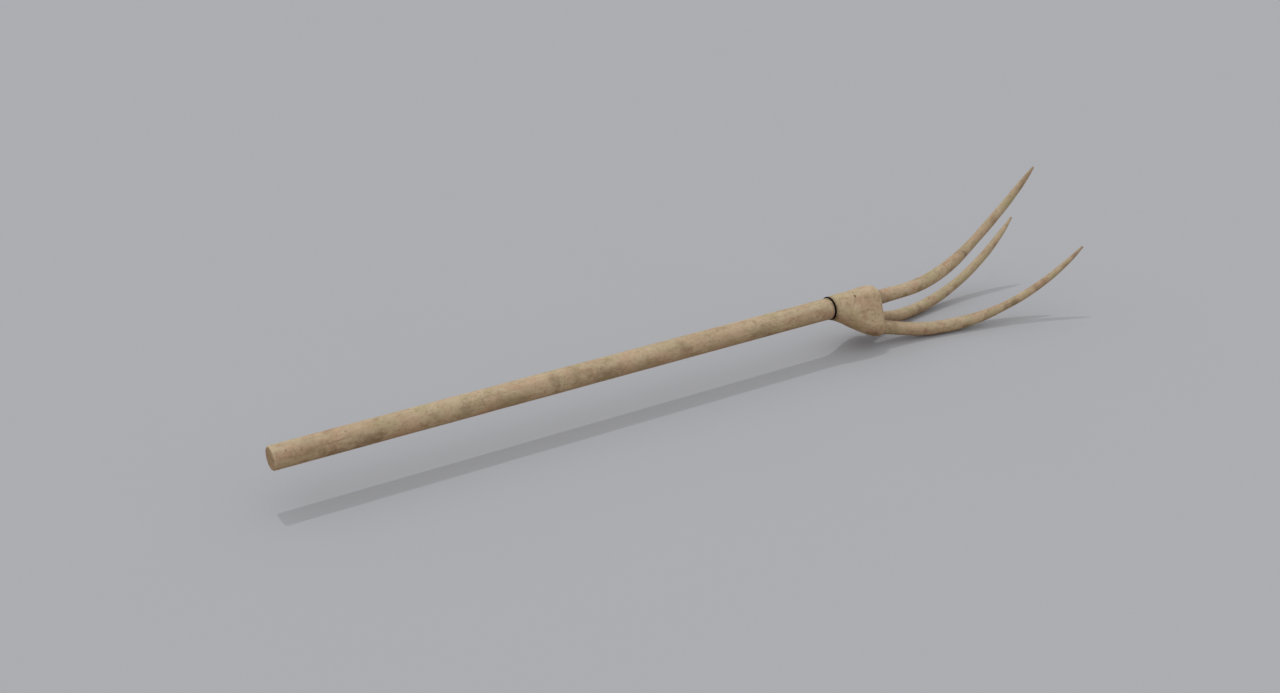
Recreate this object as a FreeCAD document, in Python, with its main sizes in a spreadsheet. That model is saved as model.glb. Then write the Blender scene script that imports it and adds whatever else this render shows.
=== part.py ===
"""Hay fork: a turned handle tenoned into a carved head block that holds three bent wooden tines.

Frame: origin at the centre of the handle's flat butt, +X along the handle towards the tines,
+Z on the side that the tines curve to, +Y to the left. Millimetres and degrees.
"""
import FreeCAD, Part
import math
import os

import Sketcher

DIMENSIONS = {
    # turned handle, and the tenon that enters the head
    "handle_diameter": 38,
    "handle_length": 1012.2,
    "butt_edge_radius": 1.2,
    "handle_tenon_diameter": 26,
    "handle_tenon_length": 60,
    "tenon_end_chamfer": 1,
    # fox wedge that spreads the handle's tenon inside its blind socket
    "wedge_length": 34,
    "wedge_height": 22,
    "wedge_tip_thickness": 1.2,
    "wedge_butt_thickness": 4,
    # ring between the handle's shoulder and the head's mouth
    "ring_diameter": 41.8,
    "ring_thickness": 2.6,
    "ring_edge_radius": 0.5,
    # sockets in the head
    "socket_clearance": 0.1,
    "socket_end_gap": 1,
    # seats of the tines in the head, measured from the middle of its mouth
    "top_seat_forward": 97,
    "top_seat_offset": 0,
    "top_seat_height": -4.4,
    "top_pitch": 0.7,
    "top_splay": 0,
    "lower_seat_forward": 94,
    "lower_seat_offset": 18.4,
    "lower_seat_height": -50.5,
    "lower_pitch": -12.7,
    "lower_splay": 9.9,
    "tine_tenon_diameter": 16,
    "tine_tenon_length": 30,
    # bend of each tine: a straight root, a firm arc and a gentle arc
    "top_root_run": 70.4,
    "top_firm_radius": 248.5,
    "top_firm_angle": 34.5,
    "top_gentle_radius": 1054,
    "top_gentle_angle": 11.25,
    "lower_root_run": 80,
    "lower_firm_radius": 160,
    "lower_firm_angle": 5.8,
    "lower_gentle_radius": 417,
    "lower_gentle_angle": 50.2,
    # diameters of each hand-shaved tine
    "top_root_diameter": 27,
    "top_bend_diameter": 24.8,
    "top_slim_diameter": 17.6,
    "top_fore_diameter": 14.6,
    "left_root_diameter": 25,
    "left_bend_diameter": 22,
    "left_slim_diameter": 17.8,
    "left_fore_diameter": 14.6,
    "right_root_diameter": 25,
    "right_bend_diameter": 24.4,
    "right_slim_diameter": 16,
    "right_fore_diameter": 12.6,
    "tine_tip_diameter": 3.8,
    # pegs through the four tenons
    "peg_diameter": 5,
    "peg_inner_reach": 11,
    "handle_peg_forward": 46,
    "handle_peg_outer_reach": 21.6,
    "handle_peg_angle": 34,
    "tine_peg_setback": 15,
    "top_peg_outer_reach": 27.8,
    "top_peg_angle": -90,
    "lower_peg_outer_reach": 15,
    "lower_peg_angle": 180,
}

# Cross-sections of the head: distance forward from the mouth, forward lean of the section's top,
# height and radius of the round top, then sideways offset, height and radius of the lower corners.
SECTION_FIELDS = ("forward", "lean", "top_height", "top_radius", "low_offset", "low_height", "low_radius")
HEAD_SECTIONS = {
    "mouth": (0, 0, 0, 20, 1.5, -1, 19.4),
    "collar": (21, 0, 1, 20.6, 5.5, -9.5, 21.4),
    "flare": (47, 0, 1.0, 20.2, 12.8, -24.5, 22.4),
    "palm": (77, 0, -0.5, 23.3, 18.5, -39.5, 22.6),
    "brow": (95, 3, -1.8, 22.5, 20, -46.4, 20),
    "edge": (101.5, 4.5, -3.6, 18.8, 20, -48.6, 17.6),
    "front": (104.5, 4.5, -4.2, 15.4, 20.3, -50.6, 15.4),
}

# Diameter of a tine at fractions of its bent length, as shares of its own named diameters.
TINE_STATIONS = (
    (0, {"bend": 1}),
    (0.1, {"bend": 1}),
    (0.21, {"bend": 0.98}),
    (0.35, {"bend": 0.55, "slim": 0.45}),
    (0.49, {"slim": 1}),
    (0.65, {"slim": 0.65, "fore": 0.35}),
    (0.8, {"fore": 1}),
    (0.92, {"fore": 0.7}),
)

# Each tine's bend group and the side of the head that it stands on.
TINES = {"top": ("top", 0), "left": ("lower", 1), "right": ("lower", -1)}

HEAD_START = "(Sizes.handle_length + Sizes.ring_thickness)"
NO_TURN = "rotation(vector(0; 0; 1); 0)"

doc = FreeCAD.newDocument("hay_fork")
sheet = doc.addObject("Spreadsheet::Sheet", "Sizes")


def fill_sheet():
    """Write every driving dimension as a plain number with an alias."""
    sizes = dict(DIMENSIONS)
    for section, values in HEAD_SECTIONS.items():
        for field, value in zip(SECTION_FIELDS, values):
            sizes[f"{section}_{field}"] = value
    for row, (alias, value) in enumerate(sizes.items(), start=1):
        sheet.set(f"A{row}", alias)
        sheet.set(f"B{row}", str(value))
        sheet.setAlias(f"B{row}", alias)
    doc.recompute()


def new_body(name, placement=None):
    """Start a body, placed in the fork's frame by an expression."""
    body = doc.addObject("PartDesign::Body", name)
    body.Label = name
    if placement:
        body.setExpression("Placement", placement)
    return body


def new_sketch(body, name, role, offset=None):
    """Attach a sketch to one of the body's own origin planes."""
    sketch = body.newObject("Sketcher::SketchObject", name)
    plane = next(item for item in body.Origin.OriginFeatures if item.Role == role)
    sketch.AttachmentSupport = [(plane, "")]
    sketch.MapMode = "FlatFace"
    if offset:
        sketch.setExpression("AttachmentOffset", offset)
    return sketch


def station(forward, side="0", height="0", turn=NO_TURN):
    """Offset, for a sketch on the YZ plane, to a point of the body's frame."""
    return f"placement(vector({side}; {height}; {forward}); {turn})"


def circle_sketch(body, name, diameter, offset=None):
    """Draw one circle about the sketch's centre, across the body's X axis."""
    sketch = new_sketch(body, name, "YZ_Plane", offset)
    circle = sketch.addGeometry(Part.Circle(FreeCAD.Vector(), FreeCAD.Vector(0, 0, 1), 1))
    sketch.addConstraint(Sketcher.Constraint("Coincident", circle, 3, -1, 1))
    size = sketch.addConstraint(Sketcher.Constraint("Diameter", circle, 2))
    sketch.setExpression(f"Constraints[{size}]", diameter)
    return sketch


def extrude(body, kind, name, sketch, length, reverse=False, both_ways=False):
    """Pad or pocket a sketch and check that it changed the body's volume."""
    doc.recompute()
    before = body.Shape.Volume if body.Tip else 0
    feature = body.newObject(f"PartDesign::{kind}", name)
    feature.Profile = sketch
    feature.setExpression("Length", length)
    feature.Reversed = reverse
    feature.SideType = "Symmetric" if both_ways else "One side"
    doc.recompute()
    if abs(body.Shape.Volume - before) < 1:
        raise RuntimeError(f"{name} changed nothing")
    return feature


def loft(body, name, sections):
    """Skin sketches that are listed from back to front; starting at the front keeps the solid outward."""
    doc.recompute()
    skin = body.newObject("PartDesign::AdditiveLoft", name)
    skin.Profile = sections[-1]
    skin.Sections = sections[-2::-1]
    doc.recompute()
    return skin


def edges_at(feature, forward):
    """Names of the edges that lie wholly in the plane at a distance along the body's X axis."""
    names = []
    for index, edge in enumerate(feature.Shape.Edges, start=1):
        box = edge.BoundBox
        if abs(box.XMin - forward) < 1e-4 and abs(box.XMax - forward) < 1e-4:
            names.append(f"Edge{index}")
    return names


def ease_edges(body, kind, name, forward, size_property, size):
    """Fillet or chamfer all edges in one cross plane of the body's last feature."""
    doc.recompute()
    base = body.Tip
    feature = body.newObject(f"PartDesign::{kind}", name)
    feature.Base = (base, edges_at(base, forward))
    feature.setExpression(size_property, size)
    doc.recompute()
    return feature


def wedge_sketch(body, name, offset):
    """Draw the long taper of the fox wedge in plan, thin end first."""
    length = DIMENSIONS["wedge_length"]
    tip = DIMENSIONS["wedge_tip_thickness"] / 2
    butt = DIMENSIONS["wedge_butt_thickness"] / 2
    sketch = new_sketch(body, name, "XY_Plane", offset)
    corners = [(0, -tip), (length, -butt), (length, butt), (0, tip)]
    points = [FreeCAD.Vector(x, y, 0) for x, y in corners]
    for start, end in zip(points, points[1:] + points[:1]):
        sketch.addGeometry(Part.LineSegment(start, end))
    for line in range(4):
        sketch.addConstraint(Sketcher.Constraint("Coincident", line, 2, (line + 1) % 4, 1))
    sketch.addConstraint(Sketcher.Constraint("Symmetric", 0, 1, 3, 1, -1))
    sketch.addConstraint(Sketcher.Constraint("Symmetric", 0, 2, 2, 1, -1))
    sketch.addConstraint(Sketcher.Constraint("PointOnObject", 0, 1, -2))
    for first, second, kind, size in (
        ((0, 1), (0, 2), "DistanceX", "Sizes.wedge_length"),
        ((0, 1), (3, 1), "DistanceY", "Sizes.wedge_tip_thickness"),
        ((0, 2), (2, 1), "DistanceY", "Sizes.wedge_butt_thickness"),
    ):
        index = sketch.addConstraint(Sketcher.Constraint(kind, *first, *second, 1))
        sketch.setExpression(f"Constraints[{index}]", size)
    return sketch


def build_handle():
    """Turned pole, shouldered down to a kerfed round tenon."""
    body = new_body("handle")
    pole = circle_sketch(body, "handle_pole_section", "Sizes.handle_diameter")
    extrude(body, "Pad", "handle_pole", pole, "Sizes.handle_length")
    tenon = circle_sketch(
        body, "handle_tenon_section", "Sizes.handle_tenon_diameter", station("Sizes.handle_length")
    )
    extrude(body, "Pad", "handle_tenon", tenon, "Sizes.handle_tenon_length")
    ease_edges(body, "Fillet", "butt_edge", 0, "Radius", "Sizes.butt_edge_radius")
    tenon_end = DIMENSIONS["handle_length"] + DIMENSIONS["handle_tenon_length"]
    ease_edges(body, "Chamfer", "tenon_end_edge", tenon_end, "Size", "Sizes.tenon_end_chamfer")
    kerf_start = "Sizes.handle_length + Sizes.handle_tenon_length - Sizes.wedge_length"
    kerf = wedge_sketch(body, "kerf_plan", f"placement(vector({kerf_start}; 0; 0); {NO_TURN})")
    extrude(body, "Pocket", "kerf", kerf, "Sizes.handle_diameter", both_ways=True)
    return body


def build_wedge():
    """Fox wedge in the kerf, driven home by the blind end of the socket."""
    start = "Sizes.handle_length + Sizes.handle_tenon_length - Sizes.wedge_length"
    body = new_body("handle_wedge", f"placement(vector({start}; 0; 0); {NO_TURN})")
    plan = wedge_sketch(body, "wedge_plan", None)
    extrude(body, "Pad", "wedge_taper", plan, "Sizes.wedge_height", both_ways=True)
    return body


def build_ring():
    """Thin ring on the tenon, pinched between the handle's shoulder and the head."""
    body = new_body("socket_ring", f"placement(vector(Sizes.handle_length; 0; 0); {NO_TURN})")
    disc = circle_sketch(body, "ring_outline", "Sizes.ring_diameter")
    extrude(body, "Pad", "ring_disc", disc, "Sizes.ring_thickness")
    for name, forward in (("ring_back_edge", 0), ("ring_front_edge", DIMENSIONS["ring_thickness"])):
        ease_edges(body, "Fillet", name, forward, "Radius", "Sizes.ring_edge_radius")
    bore = circle_sketch(
        body, "ring_bore_outline", "Sizes.handle_tenon_diameter + 2 * Sizes.socket_clearance"
    )
    extrude(body, "Pocket", "ring_bore", bore, "Sizes.ring_thickness", reverse=True)
    return body


def corner_tangent(first, second):
    """Outer tangent points of two circles (x, y, radius), on the left going from first to second."""
    run = (second[0] - first[0], second[1] - first[1])
    distance = math.hypot(*run)
    along = (first[2] - second[2]) / distance
    across = math.sqrt(1 - along * along)
    normal = (
        along * run[0] / distance - across * run[1] / distance,
        along * run[1] / distance + across * run[0] / distance,
    )
    return [FreeCAD.Vector(x + radius * normal[0], y + radius * normal[1], 0)
            for x, y, radius in (first, second)]


def head_section(body, section):
    """Round-cornered triangle: one arc on top, two below, joined by tangent lines."""
    values = dict(zip(SECTION_FIELDS, HEAD_SECTIONS[section]))
    corners = [
        (0, values["top_height"], values["top_radius"]),
        (-values["low_offset"], values["low_height"], values["low_radius"]),
        (values["low_offset"], values["low_height"], values["low_radius"]),
    ]
    clockwise = [corners[0], corners[2], corners[1]]
    sides = [corner_tangent(clockwise[i], clockwise[(i + 1) % 3]) for i in range(3)]
    lean = f"rotation(vector(1; 0; 0); Sizes.{section}_lean)"
    offset = station(f"Sizes.{section}_forward", turn=lean)
    sketch = new_sketch(body, f"{section}_section", "YZ_Plane", offset)
    for i, (x, y, radius) in enumerate(clockwise):
        start = sides[i - 1][1]
        end = sides[i][0]
        start_angle = math.atan2(start.y - y, start.x - x)
        end_angle = math.atan2(end.y - y, end.x - x)
        circle = Part.Circle(FreeCAD.Vector(x, y, 0), FreeCAD.Vector(0, 0, 1), radius)
        sketch.addGeometry(Part.ArcOfCircle(circle, end_angle, start_angle))
    for start, end in sides:
        sketch.addGeometry(Part.LineSegment(start, end))
    for i in range(3):
        sketch.addConstraint(Sketcher.Constraint("Tangent", i, 1, 3 + i, 1))
        sketch.addConstraint(Sketcher.Constraint("Tangent", 3 + i, 2, (i + 1) % 3, 2))
    sketch.addConstraint(Sketcher.Constraint("PointOnObject", 0, 3, -2))
    sketch.addConstraint(Sketcher.Constraint("Symmetric", 1, 3, 2, 3, -2))
    sketch.addConstraint(Sketcher.Constraint("Equal", 1, 2))
    for constraint, size in (
        (Sketcher.Constraint("Radius", 0, values["top_radius"]), f"{section}_top_radius"),
        (Sketcher.Constraint("Radius", 1, values["low_radius"]), f"{section}_low_radius"),
        (Sketcher.Constraint("DistanceY", -1, 1, 0, 3, values["top_height"]), f"{section}_top_height"),
        (Sketcher.Constraint("DistanceX", -1, 1, 1, 3, values["low_offset"]), f"{section}_low_offset"),
        (Sketcher.Constraint("DistanceY", -1, 1, 1, 3, values["low_height"]), f"{section}_low_height"),
    ):
        index = sketch.addConstraint(constraint)
        sketch.setExpression(f"Constraints[{index}]", f"Sizes.{size}")
    return sketch


def cut_tine_socket(body, tine):
    """Recess for the root and deeper bore for the tenon, both along the tine's root."""
    group, side = TINES[tine]
    turn = (
        f"rotation(vector(0; 1; 0); {side} * Sizes.{group}_splay)"
        f" * rotation(vector(1; 0; 0); -Sizes.{group}_pitch)"
    )
    seat = station(
        f"Sizes.{group}_seat_forward",
        f"{side} * Sizes.{group}_seat_offset",
        f"Sizes.{group}_seat_height",
        turn,
    )
    clearance = "2 * Sizes.socket_clearance"
    recess = circle_sketch(
        body, f"{tine}_root_recess_outline", f"Sizes.{tine}_root_diameter + {clearance}", seat
    )
    extrude(body, "Pocket", f"{tine}_root_recess", recess, "Sizes.tine_tenon_length", reverse=True)
    bore = circle_sketch(body, f"{tine}_bore_outline", f"Sizes.tine_tenon_diameter + {clearance}", seat)
    extrude(body, "Pocket", f"{tine}_bore", bore, "Sizes.tine_tenon_length + Sizes.socket_end_gap")


def build_head():
    """Carved block: round at the mouth, flared into a palm with one tine above and two below."""
    body = new_body("head", f"placement(vector({HEAD_START}; 0; 0); {NO_TURN})")
    sections = [head_section(body, section) for section in HEAD_SECTIONS]
    loft(body, "head_block", sections)
    socket = circle_sketch(
        body, "handle_socket_outline", "Sizes.handle_tenon_diameter + 2 * Sizes.socket_clearance"
    )
    depth = "Sizes.handle_tenon_length - Sizes.ring_thickness + Sizes.socket_end_gap"
    extrude(body, "Pocket", "handle_socket", socket, depth, reverse=True)
    for tine in TINES:
        cut_tine_socket(body, tine)
    return body


def tine_spine(group, fraction):
    """Expressions for the point and the turn at a fraction of a tine's bend, in its own frame."""
    size = f"Sizes.{group}_"
    firm_length = f"({size}firm_radius * {size}firm_angle * pi / 180)"
    gentle_length = f"({size}gentle_radius * {size}gentle_angle * pi / 180)"
    reach = f"({fraction} * ({firm_length} + {gentle_length}))"
    firm_turn = f"(min({reach}; {firm_length}) / {size}firm_radius * 180 / pi)"
    gentle_turn = f"(max({reach} - {firm_length}; 0) / {size}gentle_radius * 180 / pi)"
    turn = f"({firm_turn} + {gentle_turn})"
    forward = (
        f"{size}root_run + {size}firm_radius * sin({firm_turn})"
        f" + {size}gentle_radius * (sin({turn}) - sin({firm_turn}))"
    )
    rise = (
        f"{size}firm_radius * (1 - cos({firm_turn}))"
        f" + {size}gentle_radius * (cos({firm_turn}) - cos({turn}))"
    )
    return forward, rise, turn


def tine_section(body, tine, index, fraction, diameter):
    """Circle across the tine's spine at a fraction of its bend."""
    forward, rise, turn = tine_spine(TINES[tine][0], fraction)
    offset = station(forward, height=rise, turn=f"rotation(vector(1; 0; 0); -{turn})")
    return circle_sketch(body, f"{tine}_section_{index}", diameter, offset)


def build_tine(tine):
    """Steam-bent tine with a shouldered tenon, shaved slimmer past the bend to a blunt point."""
    group, side = TINES[tine]
    seat = (
        f"vector({HEAD_START} + Sizes.{group}_seat_forward;"
        f" {side} * Sizes.{group}_seat_offset; Sizes.{group}_seat_height)"
    )
    turn = (
        f"rotation(vector(0; 0; 1); {side} * Sizes.{group}_splay)"
        f" * rotation(vector(0; 1; 0); -Sizes.{group}_pitch)"
    )
    body = new_body(f"tine_{tine}", f"placement({seat}; {turn})")
    sections = []
    for index, (fraction, shares) in enumerate(TINE_STATIONS):
        diameter = " + ".join(f"{share} * Sizes.{tine}_{name}_diameter" for name, share in shares.items())
        sections.append(tine_section(body, tine, index, fraction, diameter))
    sections.append(tine_section(body, tine, len(sections), 1, "Sizes.tine_tip_diameter"))
    root = circle_sketch(body, f"{tine}_root_section", f"Sizes.{tine}_root_diameter")
    loft(body, f"{tine}_root", [root, sections[0]])
    loft(body, f"{tine}_bend", sections)
    tenon = circle_sketch(body, f"{tine}_tenon_section", "Sizes.tine_tenon_diameter")
    extrude(body, "Pad", f"{tine}_tenon", tenon, "Sizes.tine_tenon_length", reverse=True)
    tenon_end = -DIMENSIONS["tine_tenon_length"]
    ease_edges(body, "Chamfer", f"{tine}_tenon_edge", tenon_end, "Size", "Sizes.tenon_end_chamfer")
    return body


def build_peg(name, centre, turn, outer_reach):
    """Round peg through a tenon, driven in from outer_reach along its own +Z."""
    peg = doc.addObject("Part::Cylinder", name)
    peg.Label = name
    peg.setExpression("Radius", "Sizes.peg_diameter / 2")
    peg.setExpression("Height", f"{outer_reach} + Sizes.peg_inner_reach")
    inward = f"placement(vector(0; 0; -Sizes.peg_inner_reach); {NO_TURN})"
    peg.setExpression("Placement", f"placement({centre}; {turn}) * {inward}")
    return peg


def build_handle_peg():
    """Peg through the handle's tenon, from the upper right of the head."""
    centre = f"vector({HEAD_START} + Sizes.handle_peg_forward; 0; 0)"
    turn = "rotation(vector(1; 0; 0); Sizes.handle_peg_angle)"
    return build_peg("handle_peg", centre, turn, "Sizes.handle_peg_outer_reach")


def build_tine_peg(tine):
    """Peg through a tine's tenon: from the left for the top tine, from below for the lower two."""
    group, side = TINES[tine]
    setback = "Sizes.tine_peg_setback"
    pitch = f"Sizes.{group}_pitch"
    splay = f"{side} * Sizes.{group}_splay"
    centre = (
        f"vector({HEAD_START} + Sizes.{group}_seat_forward - {setback} * cos({pitch}) * cos({splay});"
        f" {side} * Sizes.{group}_seat_offset - {setback} * cos({pitch}) * sin({splay});"
        f" Sizes.{group}_seat_height - {setback} * sin({pitch}))"
    )
    turn = f"rotation(vector(1; 0; 0); Sizes.{group}_peg_angle)"
    return build_peg(f"{tine}_tine_peg", centre, turn, f"Sizes.{group}_peg_outer_reach")


def drill(body, name, pegs):
    """The finished piece: a body with the holes that its pegs are driven through."""
    tool = pegs[0]
    if len(pegs) > 1:
        tool = doc.addObject("Part::MultiFuse", f"{name}_peg_holes")
        tool.Shapes = pegs
    body.Label = f"{name}_undrilled"
    piece = doc.addObject("Part::Cut", name)
    piece.Label = name
    piece.Base = body
    piece.Tool = tool
    return piece


def check_and_export(pieces):
    """Stop on any failed object or bad solid, then write one STEP file for each piece."""
    doc.recompute()
    for item in doc.Objects:
        if "Invalid" in item.State or "Error" in item.State:
            raise RuntimeError(f"{item.Label} failed: {item.State}")
    for piece in pieces:
        shape = piece.Shape
        if shape.isNull() or not shape.isValid() or len(shape.Solids) != 1:
            raise RuntimeError(f"{piece.Label} is not one valid solid")
    os.makedirs("parts", exist_ok=True)
    for piece in pieces:
        piece.Shape.exportStep(f"parts/{piece.Label}.step")
        print(f"{piece.Label}: {piece.Shape.Volume / 1000:.1f} cm3")


fill_sheet()
handle_peg = build_handle_peg()
tine_pegs = [build_tine_peg(tine) for tine in TINES]
handle = drill(build_handle(), "handle", [handle_peg])
head = drill(build_head(), "head", [handle_peg, *tine_pegs])
tines = [drill(build_tine(tine), f"tine_{tine}", [peg]) for tine, peg in zip(TINES, tine_pegs)]
wedge = drill(build_wedge(), "handle_wedge", [handle_peg])
check_and_export([handle, wedge, build_ring(), head, *tines, handle_peg, *tine_pegs])
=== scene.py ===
"""Looks of the hay fork: turned, carved and bent wood, an iron ring and a plain studio.

Blender works in metres in the CAD's frame. Shapes are worked out here in millimetres in that frame:
+X along the handle towards the tines, +Z on the side that the tines curve to, +Y to the left.
"""
import math

import bmesh
import bpy
import numpy as np
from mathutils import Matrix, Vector, noise


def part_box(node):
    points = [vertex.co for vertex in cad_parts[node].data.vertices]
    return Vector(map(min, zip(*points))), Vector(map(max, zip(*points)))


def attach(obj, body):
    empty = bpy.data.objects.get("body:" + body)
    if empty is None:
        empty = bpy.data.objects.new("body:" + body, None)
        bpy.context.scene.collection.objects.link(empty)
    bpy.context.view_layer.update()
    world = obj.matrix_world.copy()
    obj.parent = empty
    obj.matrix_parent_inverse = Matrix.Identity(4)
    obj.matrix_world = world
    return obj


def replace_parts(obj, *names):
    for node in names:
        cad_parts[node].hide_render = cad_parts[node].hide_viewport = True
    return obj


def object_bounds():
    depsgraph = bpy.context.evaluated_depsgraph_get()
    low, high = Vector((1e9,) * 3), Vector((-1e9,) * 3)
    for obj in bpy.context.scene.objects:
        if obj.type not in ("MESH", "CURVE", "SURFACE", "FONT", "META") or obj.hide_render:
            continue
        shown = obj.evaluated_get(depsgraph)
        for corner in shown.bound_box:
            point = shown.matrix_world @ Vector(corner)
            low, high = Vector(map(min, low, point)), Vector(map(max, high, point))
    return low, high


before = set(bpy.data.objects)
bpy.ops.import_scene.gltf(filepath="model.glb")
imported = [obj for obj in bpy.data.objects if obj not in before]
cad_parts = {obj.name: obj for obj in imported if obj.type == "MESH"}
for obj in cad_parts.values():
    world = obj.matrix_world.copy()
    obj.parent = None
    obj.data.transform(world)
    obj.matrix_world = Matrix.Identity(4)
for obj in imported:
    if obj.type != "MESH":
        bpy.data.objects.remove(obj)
cad_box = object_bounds()

MM = 0.001
TAU = 2 * math.pi

# ---------------------------------------- places, from the frame
HANDLE_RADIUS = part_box("handle")[1].z / MM
TENON_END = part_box("handle")[1].x / MM
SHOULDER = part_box("socket_ring")[0].x / MM
HEAD_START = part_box("socket_ring")[1].x / MM
RING_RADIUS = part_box("socket_ring")[1].z / MM
FLOOR_HEIGHT = cad_box[0].z

# ---------------------------------------- sizes, in millimetres
HANDLE_TENON_RADIUS = 13
TINE_TENON_RADIUS = 8
TINE_TENON_LENGTH = 30
SOCKET_CLEARANCE = 0.15
PEG_RADIUS = 2.5
PEG_HOLE_RADIUS = PEG_RADIUS + 0.1
PEG_INNER_REACH = 11
PEG_OUTER_REACH = {"handle": 21.1, "top": 26.0, "left": 14.6, "right": 14.6}
HANDLE_PEG_FORWARD, HANDLE_PEG_TURN = 46, math.radians(34)
WEDGE_LENGTH = 34
SKIN_GAP = 0.05  # how far the turned and shaved skins lie inside the CAD's
BUTT_GAP = 0.35  # the same for the sawn butt
BUTT_ROUNDING = 3.6
TIP_LENGTH = 2.2

# Head sections: forward, lean in degrees, top height, top radius, low offset, low height, low radius.
HEAD_LENGTH = 104.5
HEAD_SECTIONS = np.array([
    (0, 0, 0, 20, 1.5, -1, 19.4),
    (21, 0, 1, 20.6, 5.5, -9.5, 21.4),
    (47, 0, 1.0, 20.2, 12.8, -24.5, 22.4),
    (77, 0, -0.5, 23.3, 18.5, -39.5, 22.6),
    (95, 3, -1.8, 22.5, 20, -46.4, 20),
    (101.5, 4.5, -3.6, 18.8, 20, -48.6, 17.6),
    (HEAD_LENGTH, 4.5, -4.2, 15.4, 20.3, -50.6, 15.4),
])

# Drying checks. Handle: forward, degrees round from the top, length, half width, depth.
HANDLE_CHECKS = (
    (96, 62, 74, 0.32, 1.6),
    (215, -38, 52, 0.26, 1.2),
    (402, 96, 88, 0.30, 1.5),
    (565, 20, 46, 0.22, 1.0),
    (690, 158, 96, 0.34, 1.8),
    (838, 70, 58, 0.26, 1.3),
    (942, -84, 64, 0.28, 1.4),
)
# Butt: degrees round from the top, and where the check starts and ends on the way out.
BUTT_CHECKS = ((25, 1.5, 16.5), (140, 2.5, 12), (262, 3, 17))
# Head: as for the handle, with forward counted from the mouth.
HEAD_CHECKS = (
    (66, 33, 30, 0.24, 1.2),
    (84, 88, 24, 0.26, 1.4),
    (72, -70, 34, 0.26, 1.3),
)


# ---------------------------------------- small helpers
def smoothstep(low, high, value):
    """0 below low, 1 above high, smooth between; works on arrays and with low above high."""
    t = np.clip((np.asarray(value, float) - low) / (high - low), 0, 1)
    return t * t * (3 - 2 * t)


def smooth_min(a, b, blend):
    """The smaller of two arrays, with the corner between them rounded."""
    h = np.clip(0.5 + 0.5 * (b - a) / blend, 0, 1)
    return b * (1 - h) + a * h - blend * h * (1 - h)


def wobble(points, wavelength, seed):
    """Smooth noise, about -1 to 1, at points given in millimetres."""
    gain = 1.6
    shift = Vector((seed * 17.3, seed * 9.1, seed * 5.7))
    flat = np.asarray(points, float).reshape(-1, 3) / wavelength
    values = [noise.noise(Vector(p) + shift) for p in flat]
    return np.array(values).reshape(np.shape(points)[:-1]) * gain


def curve_through(xs, ys, x):
    """Monotone cubic through a few points, so that a profile has no kinks and no overshoot."""
    xs, ys, x = np.asarray(xs, float), np.asarray(ys, float), np.asarray(x, float)
    steps = np.diff(xs)
    slopes = np.diff(ys) / steps
    tangents = np.concatenate([[slopes[0]], (slopes[1:] + slopes[:-1]) / 2, [slopes[-1]]])
    turning = np.concatenate([[False], slopes[1:] * slopes[:-1] <= 0, [False]])
    tangents[turning] = 0
    i = np.clip(np.searchsorted(xs, x, side="right") - 1, 0, len(steps) - 1)
    h = steps[i]
    t = np.clip((x - xs[i]) / h, 0, 1)
    return (
        ys[i] * (1 + 2 * t) * (1 - t) ** 2
        + h * tangents[i] * t * (1 - t) ** 2
        + ys[i + 1] * t * t * (3 - 2 * t)
        + h * tangents[i + 1] * t * t * (t - 1)
    )


def spaced(start, end, step):
    """Evenly spaced values from start to end, both included."""
    return np.linspace(start, end, max(2, int(round(abs(end - start) / step)) + 1))


def mesh_object(name, vertices, faces):
    """Object with a mesh made from millimetre points, its faces turned outwards."""
    data = bpy.data.meshes.new(name)
    data.from_pydata((np.asarray(vertices) * MM).tolist(), [], faces)
    work = bmesh.new()
    work.from_mesh(data)
    bmesh.ops.recalc_face_normals(work, faces=work.faces)
    work.to_mesh(data)
    work.free()
    piece = bpy.data.objects.new(name, data)
    bpy.context.scene.collection.objects.link(piece)
    return piece


def skin(name, rings, wrap=False):
    """Skin an (n, m, 3) array of rings. Open ends close on a pole at the ring's middle."""
    rings = np.asarray(rings, float)
    count, around = rings.shape[:2]
    vertices = rings.reshape(-1, 3)
    faces = []
    for i in range(count if wrap else count - 1):
        a, b = i * around, ((i + 1) % count) * around
        faces += [
            (a + j, a + (j + 1) % around, b + (j + 1) % around, b + j) for j in range(around)
        ]
    if not wrap:
        first, last = len(vertices), len(vertices) + 1
        vertices = np.vstack([vertices, rings[0].mean(0), rings[-1].mean(0)])
        end = (count - 1) * around
        faces += [((j + 1) % around, j, first) for j in range(around)]
        faces += [(end + j, end + (j + 1) % around, last) for j in range(around)]
    return mesh_object(name, vertices, faces)


def subtract(piece, cutters):
    """Cut closed meshes out of a piece and throw the cutters away."""
    for cutter in cutters:
        modifier = piece.modifiers.new("cut", "BOOLEAN")
        modifier.operation = "DIFFERENCE"
        modifier.solver = "MANIFOLD"
        modifier.object = cutter
        bpy.context.view_layer.update()
        graph = bpy.context.evaluated_depsgraph_get()
        cut = bpy.data.meshes.new_from_object(piece.evaluated_get(graph))
        piece.modifiers.remove(modifier)
        piece.data = cut
        bpy.data.objects.remove(cutter)
    piece.data.name = piece.name


def shade(piece, sharp_angle=38):
    """Smooth shading, with real corners kept sharp."""
    work = bmesh.new()
    work.from_mesh(piece.data)
    bmesh.ops.remove_doubles(work, verts=work.verts, dist=1e-6)
    for face in work.faces:
        face.smooth = True
    for edge in work.edges:
        edge.smooth = edge.calc_face_angle(0) < math.radians(sharp_angle)
    work.to_mesh(piece.data)
    work.free()


def set_floats(piece, **layers):
    """Store one number per vertex in each named layer, for the material to read."""
    for name, values in layers.items():
        layer = piece.data.attributes.new(name, "FLOAT", "POINT")
        layer.data.foreach_set("value", np.asarray(values, np.float32))


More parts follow.
